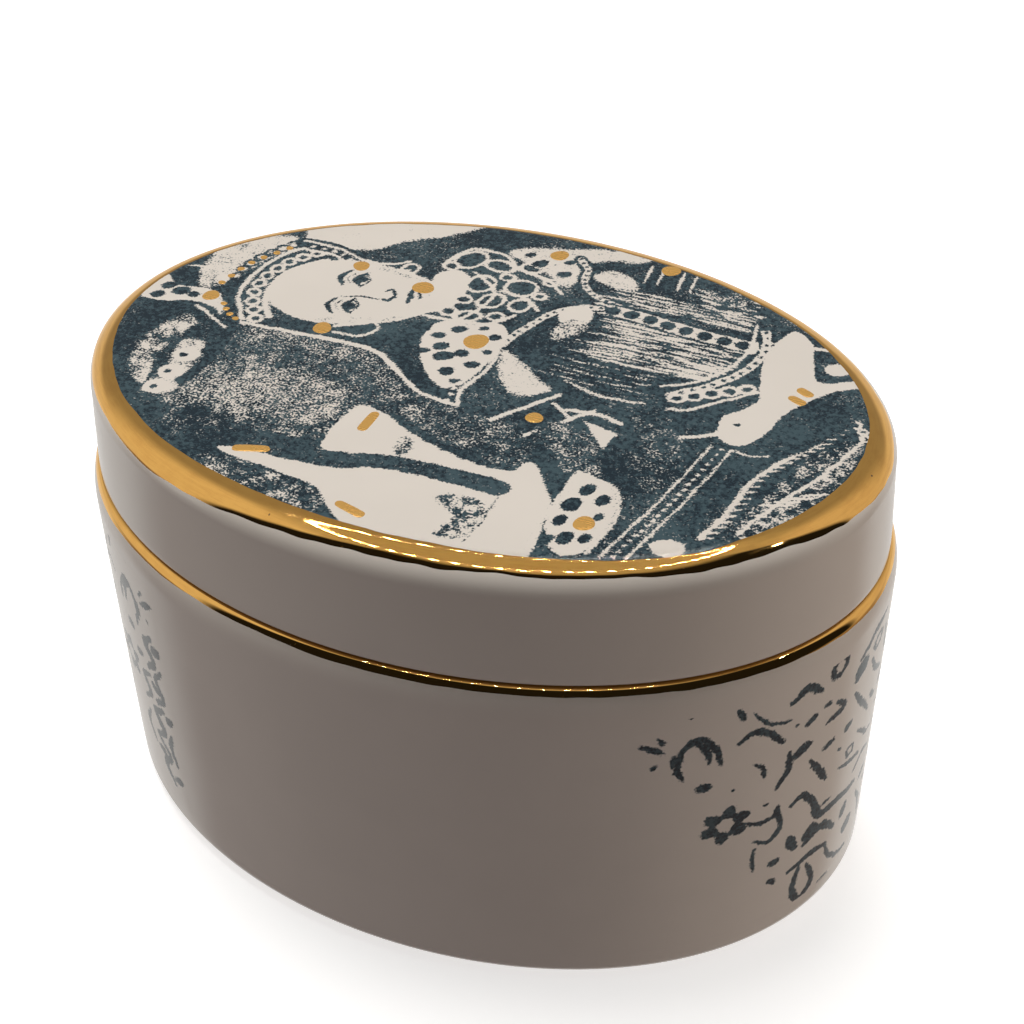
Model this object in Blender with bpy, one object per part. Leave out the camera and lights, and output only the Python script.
"""Porcelain trinket box: an oval cup and a lift-off lid, with gold and printed layers.

The box stands on its foot ring. The origin is the middle of the foot's plane, +X runs along
the long axis of the oval and +Z runs up. Every ring of the porcelain is an ellipse that is
inset from one reference oval, the lid's lower edge, so a profile is a list of points
(inset, height). The gold and the prints are thin layers let into the surface they lie on.
"""
import math

import bmesh
import bpy
from mathutils import Matrix, Vector

# Overall sizes, in metres.
LID_LENGTH = 0.1096             # long axis of the lid's lower edge
LID_WIDTH = 0.0782              # short axis of the lid's lower edge
CUP_HEIGHT = 0.0536             # foot plane to the ledge that the lid rests on
LID_HEIGHT = 0.0161             # lid's lower edge to its top

# Porcelain of the cup.
CUP_WALL = 0.0040
CUP_FLOOR = 0.0040
CUP_STEP = 0.0012               # the cup stands proud of the lid by this much
CUP_SHOULDER_REACH = 0.0016     # the cup's shoulder is a quarter of an ellipse this wide
CUP_SHOULDER_DROP = 0.0040      # and this high
CUP_HEEL_RADIUS = 0.0030        # outer rounding above the foot
CUP_INNER_RADIUS = 0.0060
FOOT_WIDTH = 0.0045
FOOT_RECESS = 0.0014
COLLAR_HEIGHT = 0.0048          # locating collar above the ledge
COLLAR_WALL = 0.0024
COLLAR_BEND = 0.0090            # height over which the wall bends in to the collar

# Porcelain of the lid.
LID_WALL = 0.0032
LID_TOP = 0.0038
LID_TAPER = 0.0008              # the lid's top edge lies this far inside its lower edge
LID_SHOULDER_RADIUS = 0.0036
LID_EDGE_RADIUS = 0.0006
LID_INNER_RADIUS = 0.0030
LID_CLEARANCE = 0.0006          # lid's inner wall to the collar

# Layers on the porcelain.
REST_GAP = 0.0003               # gap between pieces that touch
LAYER = 0.0003                  # thickness of gold and of print
LID_GOLD_FLAT = 0.0004          # how far the lid's gold band runs onto its flat top
LID_GOLD_END = math.radians(39)     # place on the shoulder's arc of the band's lower edge
CUP_GOLD_START = math.radians(74)   # place on the cup's shoulder where its gold line starts
CUP_GOLD_END = math.radians(54)     # and where it ends
SIDE_PRINT_HALF_ANGLE = math.radians(56)
SIDE_PRINT_LOW = 0.0045             # foot plane to the print's lower edge
SIDE_PRINT_DROP = 0.0006            # cup's shoulder to the print's upper edge
DASH_WIDTH = 0.00130

# Smoothness.
RING_SEGMENTS = 64
ARC_STEPS = 5
PRINT_STEPS = 20
DOT_SEGMENTS = 12

# Gold dots on the printed oval: shares of its half length and half width, then the radius.
DOT_PLACES = [
    (-0.83, 0.09, 0.0012), (-0.51, 0.51, 0.0012), (-0.47, 0.04, 0.0013), (-0.30, 0.45, 0.0015),
    (-0.06, 0.17, 0.0017), (-0.01, 0.88, 0.0013), (0.31, 0.93, 0.0013), (0.21, -0.21, 0.0011),
    (0.47, -0.71, 0.0013),
]
# Gold strokes: the same shares, then the length in metres and the turn about +Z in degrees.
DASH_PLACES = [
    (-0.17, -0.45, 0.0044, 87), (-0.39, -0.75, 0.0048, 18), (-0.06, -0.93, 0.0044, -17),
    (0.80, 0.24, 0.0026, -26), (0.81, 0.30, 0.0025, -30),
]

# Heights and insets that follow from the sizes above.
LID_LOW = CUP_HEIGHT + REST_GAP
BOX_HEIGHT = LID_LOW + LID_HEIGHT
SEAT = REST_GAP + LAYER             # how deep a layer's seat is let into the porcelain
CUP_EDGE = -CUP_STEP
CUP_SHOULDER = (CUP_EDGE + CUP_SHOULDER_REACH, CUP_HEIGHT - CUP_SHOULDER_DROP)
LID_SHOULDER = (LID_TAPER + LID_SHOULDER_RADIUS, BOX_HEIGHT - LID_SHOULDER_RADIUS)
GOLD_INSET = LID_TAPER + LID_SHOULDER_RADIUS + LID_GOLD_FLAT
PRINT_INSET = GOLD_INSET + REST_GAP
COLLAR_INSET = LID_WALL + LID_CLEARANCE

# Colours as (red, green, blue), linear.
GLAZE_WHITE = (0.78, 0.74, 0.69)
GOLD_LUSTRE = (0.78, 0.52, 0.20)
TEAL_INK = (0.030, 0.060, 0.080)


def clear_objects():
    """Remove every object of the open scene."""
    for obj in list(bpy.data.objects):
        bpy.data.objects.remove(obj, do_unlink=True)


def make_material(name, color, roughness, metallic):
    """A Principled material of one colour and finish."""
    material = bpy.data.materials.new(name)
    material.use_nodes = True
    shader = material.node_tree.nodes["Principled BSDF"]
    shader.inputs["Base Color"].default_value = (*color, 1.0)
    shader.inputs["Roughness"].default_value = roughness
    shader.inputs["Metallic"].default_value = metallic
    material.diffuse_color = (*color, 1.0)
    return material


def add_object(name, bm, material):
    """Turn a bmesh into a smoothly shaded object in the scene."""
    bmesh.ops.recalc_face_normals(bm, faces=bm.faces)
    mesh = bpy.data.meshes.new(name)
    bm.to_mesh(mesh)
    bm.free()
    mesh.materials.append(material)
    obj = bpy.data.objects.new(name, mesh)
    bpy.context.scene.collection.objects.link(obj)
    shade(obj)
    return obj


def shade(obj):
    """Smooth faces with sharp creases."""
    obj.data.shade_smooth()
    obj.data.set_sharp_from_angle(angle=math.radians(40))


def ring_point(inset, height, angle):
    """A point of the ellipse that lies `inset` inside the reference oval."""
    x = (LID_LENGTH / 2 - inset) * math.cos(angle)
    y = (LID_WIDTH / 2 - inset) * math.sin(angle)
    return Vector((x, y, height))


def arc(center, reach, start, end, steps=ARC_STEPS, drop=None):
    """Points (inset, height) of an arc, from 0 at its outermost point to 90 degrees at its top.
    It is part of a circle, or of an ellipse `drop` high where one is given."""
    drop = reach if drop is None else drop
    points = []
    for step in range(steps + 1):
        angle = start + (end - start) * step / steps
        points.append((center[0] - reach * math.cos(angle), center[1] + drop * math.sin(angle)))
    return points


def turned(profile, closed):
    """Carry a profile round the oval: a closed one is a hoop, an open one is capped at its ends."""
    bm = bmesh.new()
    rings = []
    for inset, height in profile:
        angles = [math.tau * step / RING_SEGMENTS for step in range(RING_SEGMENTS)]
        rings.append([bm.verts.new(ring_point(inset, height, angle)) for angle in angles])
    pairs = list(zip(rings, rings[1:]))
    if closed:
        pairs.append((rings[-1], rings[0]))
    else:
        bm.faces.new(rings[0])
        bm.faces.new(rings[-1])
    for lower, upper in pairs:
        for step in range(RING_SEGMENTS):
            after = (step + 1) % RING_SEGMENTS
            bm.faces.new((lower[step], lower[after], upper[after], upper[step]))
    return bm


def wall_plate(middle, half_angle, outer_inset, inner_inset, low, high):
    """A curved plate that follows the oval's wall between two heights."""
    bm = bmesh.new()
    corners = [(outer_inset, low), (outer_inset, high), (inner_inset, high), (inner_inset, low)]
    columns = []
    for step in range(PRINT_STEPS + 1):
        angle = middle - half_angle + 2 * half_angle * step / PRINT_STEPS
        columns.append([bm.verts.new(ring_point(inset, height, angle)) for inset, height in corners])
    for near, far in zip(columns, columns[1:]):
        for corner in range(4):
            after = (corner + 1) % 4
            bm.faces.new((near[corner], near[after], far[after], far[corner]))
    bm.faces.new(columns[0])
    bm.faces.new(columns[-1])
    return bm


def subtract(target, cutter):
    """Cut one solid out of another and remove the cutter."""
    modifier = target.modifiers.new(cutter.name, "BOOLEAN")
    modifier.operation = "DIFFERENCE"
    modifier.solver = "EXACT"
    modifier.object = cutter
    graph = bpy.context.evaluated_depsgraph_get()
    cut_mesh = bpy.data.meshes.new_from_object(target.evaluated_get(graph))
    target.modifiers.clear()
    target.data = cut_mesh
    bpy.data.objects.remove(cutter, do_unlink=True)
    shade(target)


def seated_shoulder(center, reach, low_angle, high_angle, drop=None):
    """A shoulder with a seat for a gold layer between two angles, from low to high."""
    drop = reach if drop is None else drop
    gap = REST_GAP / drop
    seat = arc(center, reach - SEAT, low_angle - gap, high_angle + gap, drop=drop - SEAT)
    return arc(center, reach, low_angle - gap, low_angle - gap, 1, drop)[:1] + seat


def make_cup(porcelain):
    """The cup: foot ring, wall, ledge, locating collar and a rounded floor, in one piece."""
    foot_inner = CUP_EDGE + CUP_HEEL_RADIUS + FOOT_WIDTH
    collar_inner = COLLAR_INSET + COLLAR_WALL
    wall_inner = CUP_EDGE + CUP_WALL
    rounding = COLLAR_WALL / 2
    gap = REST_GAP / CUP_SHOULDER_DROP
    profile = [(foot_inner + FOOT_RECESS, FOOT_RECESS), (foot_inner, 0.0)]
    profile += arc((CUP_EDGE + CUP_HEEL_RADIUS, CUP_HEEL_RADIUS), CUP_HEEL_RADIUS,
                   math.radians(-90), 0.0)
    profile += arc(CUP_SHOULDER, CUP_SHOULDER_REACH, 0.0, CUP_GOLD_END - gap,
                   drop=CUP_SHOULDER_DROP)[:-1]
    profile += seated_shoulder(CUP_SHOULDER, CUP_SHOULDER_REACH, CUP_GOLD_END, CUP_GOLD_START,
                               CUP_SHOULDER_DROP)
    profile += arc(CUP_SHOULDER, CUP_SHOULDER_REACH, CUP_GOLD_START + gap, math.radians(90), 1,
                   CUP_SHOULDER_DROP)
    profile += [(COLLAR_INSET, CUP_HEIGHT)]
    profile += arc((COLLAR_INSET + rounding, CUP_HEIGHT + COLLAR_HEIGHT - rounding), rounding,
                   0.0, math.radians(180))
    profile += [(collar_inner, CUP_HEIGHT), (wall_inner, CUP_HEIGHT - COLLAR_BEND)]
    profile += arc((wall_inner + CUP_INNER_RADIUS, CUP_FLOOR + CUP_INNER_RADIUS),
                   CUP_INNER_RADIUS, 0.0, math.radians(-90))
    return add_object("cup", turned(profile, closed=False), porcelain)


def make_lid(porcelain):
    """The lid: a shallow oval cap with a rounded shoulder, seated for its gold and print."""
    inner_wall = LID_WALL + LID_TAPER
    inner_height = BOX_HEIGHT - LID_TOP
    gap = REST_GAP / LID_SHOULDER_RADIUS
    profile = arc((inner_wall + LID_INNER_RADIUS, inner_height - LID_INNER_RADIUS),
                  LID_INNER_RADIUS, math.radians(90), 0.0)
    profile += [(LID_WALL, LID_LOW)]
    profile += arc((LID_EDGE_RADIUS, LID_LOW + LID_EDGE_RADIUS), LID_EDGE_RADIUS,
                   math.radians(-90), 0.0, 3)
    profile += arc(LID_SHOULDER, LID_SHOULDER_RADIUS, 0.0, LID_GOLD_END - gap, 2)[:-1]
    profile += seated_shoulder(LID_SHOULDER, LID_SHOULDER_RADIUS, LID_GOLD_END,
                               math.radians(90) - gap)
    return add_object("lid", turned(profile, closed=False), porcelain)


def make_lid_gold(gold):
    """The wide gold band on the lid's shoulder, with a flat part on the top."""
    outer = [(GOLD_INSET, BOX_HEIGHT)]
    outer += arc(LID_SHOULDER, LID_SHOULDER_RADIUS, math.radians(90), LID_GOLD_END)
    inner = arc(LID_SHOULDER, LID_SHOULDER_RADIUS - LAYER, LID_GOLD_END, math.radians(90))
    inner += [(GOLD_INSET, BOX_HEIGHT - LAYER)]
    return add_object("lid_gold_band", turned(outer + inner, closed=True), gold)


def make_cup_gold(gold):
    """The narrow gold line on the cup's shoulder."""
    outer = arc(CUP_SHOULDER, CUP_SHOULDER_REACH, CUP_GOLD_START, CUP_GOLD_END,
                drop=CUP_SHOULDER_DROP)
    inner = arc(CUP_SHOULDER, CUP_SHOULDER_REACH - LAYER, CUP_GOLD_END, CUP_GOLD_START,
                drop=CUP_SHOULDER_DROP - LAYER)
    return add_object("cup_gold_line", turned(outer + inner, closed=True), gold)


def make_lid_print(ink):
    """The printed oval inside the gold band."""
    edge = [(PRINT_INSET, BOX_HEIGHT - LAYER), (PRINT_INSET, BOX_HEIGHT)]
    return add_object("lid_print", turned(edge, closed=False), ink)


def make_side_print(name, middle, cup, ink):
    """A print round one end of the cup, let into a seat that is cut out of the wall."""
    low = SIDE_PRINT_LOW
    high = CUP_SHOULDER[1] - SIDE_PRINT_DROP
    gap_angle = REST_GAP / (LID_WIDTH / 2)
    cutter = add_object(name + "_seat", wall_plate(
        middle, SIDE_PRINT_HALF_ANGLE + gap_angle, CUP_EDGE - SEAT, CUP_EDGE + SEAT,
        low - REST_GAP, high + REST_GAP), ink)
    cutter.hide_render = True
    cutter.display_type = "WIRE"
    subtract(cup, cutter)
    plate = wall_plate(middle, SIDE_PRINT_HALF_ANGLE, CUP_EDGE, CUP_EDGE + LAYER, low, high)
    return add_object(name, plate, ink)


def on_print(share_x, share_y):
    """A place on the printed oval, with the height at which a gold mark sits on it."""
    x = share_x * (LID_LENGTH / 2 - PRINT_INSET)
    y = share_y * (LID_WIDTH / 2 - PRINT_INSET)
    return Vector((x, y, BOX_HEIGHT + REST_GAP + LAYER / 2))


def make_dot(number, share_x, share_y, radius, gold):
    """A round gold dot, a little narrower at its top."""
    bm = bmesh.new()
    bmesh.ops.create_cone(bm, cap_ends=True, segments=DOT_SEGMENTS, radius1=radius,
                          radius2=radius - LAYER / 2, depth=LAYER,
                          matrix=Matrix.Translation(on_print(share_x, share_y)))
    return add_object(f"gold_dot_{number}", bm, gold)


def make_dash(number, share_x, share_y, length, turn, gold):
    """A short gold stroke with round ends."""
    bm = bmesh.new()
    radius = DASH_WIDTH / 2
    rim = []
    for end in (1, -1):
        for step in range(ARC_STEPS + 1):
            angle = math.pi * step / ARC_STEPS - math.pi / 2
            x = end * (length / 2 - radius + radius * math.cos(angle))
            rim.append(bm.verts.new((x, end * radius * math.sin(angle), -LAYER / 2)))
    face = bm.faces.new(rim)
    top = bmesh.ops.extrude_face_region(bm, geom=[face])["geom"]
    raised = [item for item in top if isinstance(item, bmesh.types.BMVert)]
    bmesh.ops.translate(bm, verts=raised, vec=(0.0, 0.0, LAYER))
    place = Matrix.Translation(on_print(share_x, share_y))
    bmesh.ops.transform(bm, verts=bm.verts,
                        matrix=place @ Matrix.Rotation(math.radians(turn), 4, "Z"))
    return add_object(f"gold_dash_{number}", bm, gold)


def lift_with_lid(pieces):
    """Hang the lid and what is on it from an empty on the line along which the lid lifts."""
    lift = bpy.data.objects.new("lid_lift", None)
    lift.location = (0.0, 0.0, LID_LOW)
    bpy.context.scene.collection.objects.link(lift)
    bpy.context.view_layer.update()
    for piece in pieces:
        piece.parent = lift
        piece.matrix_parent_inverse = lift.matrix_world.inverted()


def main():
    clear_objects()
    porcelain = make_material("porcelain", GLAZE_WHITE, 0.12, 0.0)
    gold = make_material("gold_lustre", GOLD_LUSTRE, 0.10, 1.0)
    ink = make_material("teal_ink", TEAL_INK, 0.15, 0.0)
    cup = make_cup(porcelain)
    make_side_print("side_print_right", 0.0, cup, ink)
    make_side_print("side_print_left", math.pi, cup, ink)
    make_cup_gold(gold)
    lifted = [make_lid(porcelain), make_lid_gold(gold), make_lid_print(ink)]
    for number, (share_x, share_y, radius) in enumerate(DOT_PLACES, 1):
        lifted.append(make_dot(number, share_x, share_y, radius, gold))
    for number, (share_x, share_y, length, turn) in enumerate(DASH_PLACES, 1):
        lifted.append(make_dash(number, share_x, share_y, length, turn, gold))
    lift_with_lid(lifted)


main()
